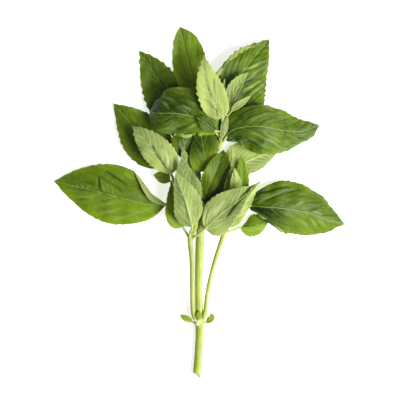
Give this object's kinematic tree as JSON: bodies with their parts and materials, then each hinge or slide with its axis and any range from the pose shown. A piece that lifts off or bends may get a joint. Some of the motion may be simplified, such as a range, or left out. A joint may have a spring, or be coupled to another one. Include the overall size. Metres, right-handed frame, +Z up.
{
  "type": "basil bunch",
  "caption": "Cut bunch of fresh basil lying flat: one stem with side shoots and toothed, cupped, pointed leaves, some showing their pale undersides.",
  "frame": {"origin": "on the surface that the bunch lies on, below the middle of its box", "axes": "+Z up from the surface, +Y along the stem from its cut end towards the growing tip, +X to the right seen from above"},
  "size_m": [0.1888, 0.227, 0.0285],
  "materials": {
    "stem": "satin",
    "leaf_upper": "satin",
    "leaf_underside": "matte"
  },
  "bodies": {
    "root": {"main_stem": "stem", "left_shoot_stem": "stem", "right_shoot_stem": "stem", "axil_shoot_stem": "stem", "main_leaf_low_left": "leaf_upper", "main_leaf_low_right": "leaf_upper", "main_leaf_top_back": "leaf_upper", "main_leaf_upper_left": "leaf_upper", "main_leaf_upper_front_left": "leaf_upper", "main_leaf_top_front": "leaf_underside", "main_leaf_top_right": "leaf_upper", "main_leaf_upper_right": "leaf_upper", "main_leaf_mid_left": "leaf_upper", "main_leaf_mid_right": "leaf_underside", "main_leaf_inner_left": "leaf_upper", "main_leaf_inner_front": "leaf_upper", "main_leaf_inner_small": "leaf_underside", "left_shoot_leaf_left": "leaf_upper", "left_shoot_leaf_front": "leaf_underside", "left_shoot_leaf_back": "leaf_underside", "left_shoot_leaf_right": "leaf_underside", "left_shoot_leaf_tip": "leaf_upper", "right_shoot_leaf_low": "leaf_upper", "right_shoot_leaf_front": "leaf_underside", "right_shoot_leaf_right": "leaf_upper", "right_shoot_leaf_small": "leaf_underside", "right_shoot_leaf_back": "leaf_underside", "axil_shoot_leaf_front": "leaf_underside", "axil_shoot_leaf_small": "leaf_upper", "tip_leaf_right": "leaf_underside", "tip_leaf_back": "leaf_underside", "tip_leaf_narrow": "leaf_underside", "tip_leaf_front": "leaf_underside", "tip_leaf_left": "leaf_upper", "node_leaf_left": "leaf_upper", "node_leaf_front": "leaf_upper", "node_leaf_right": "leaf_upper"}
  },
  "joints": []
}
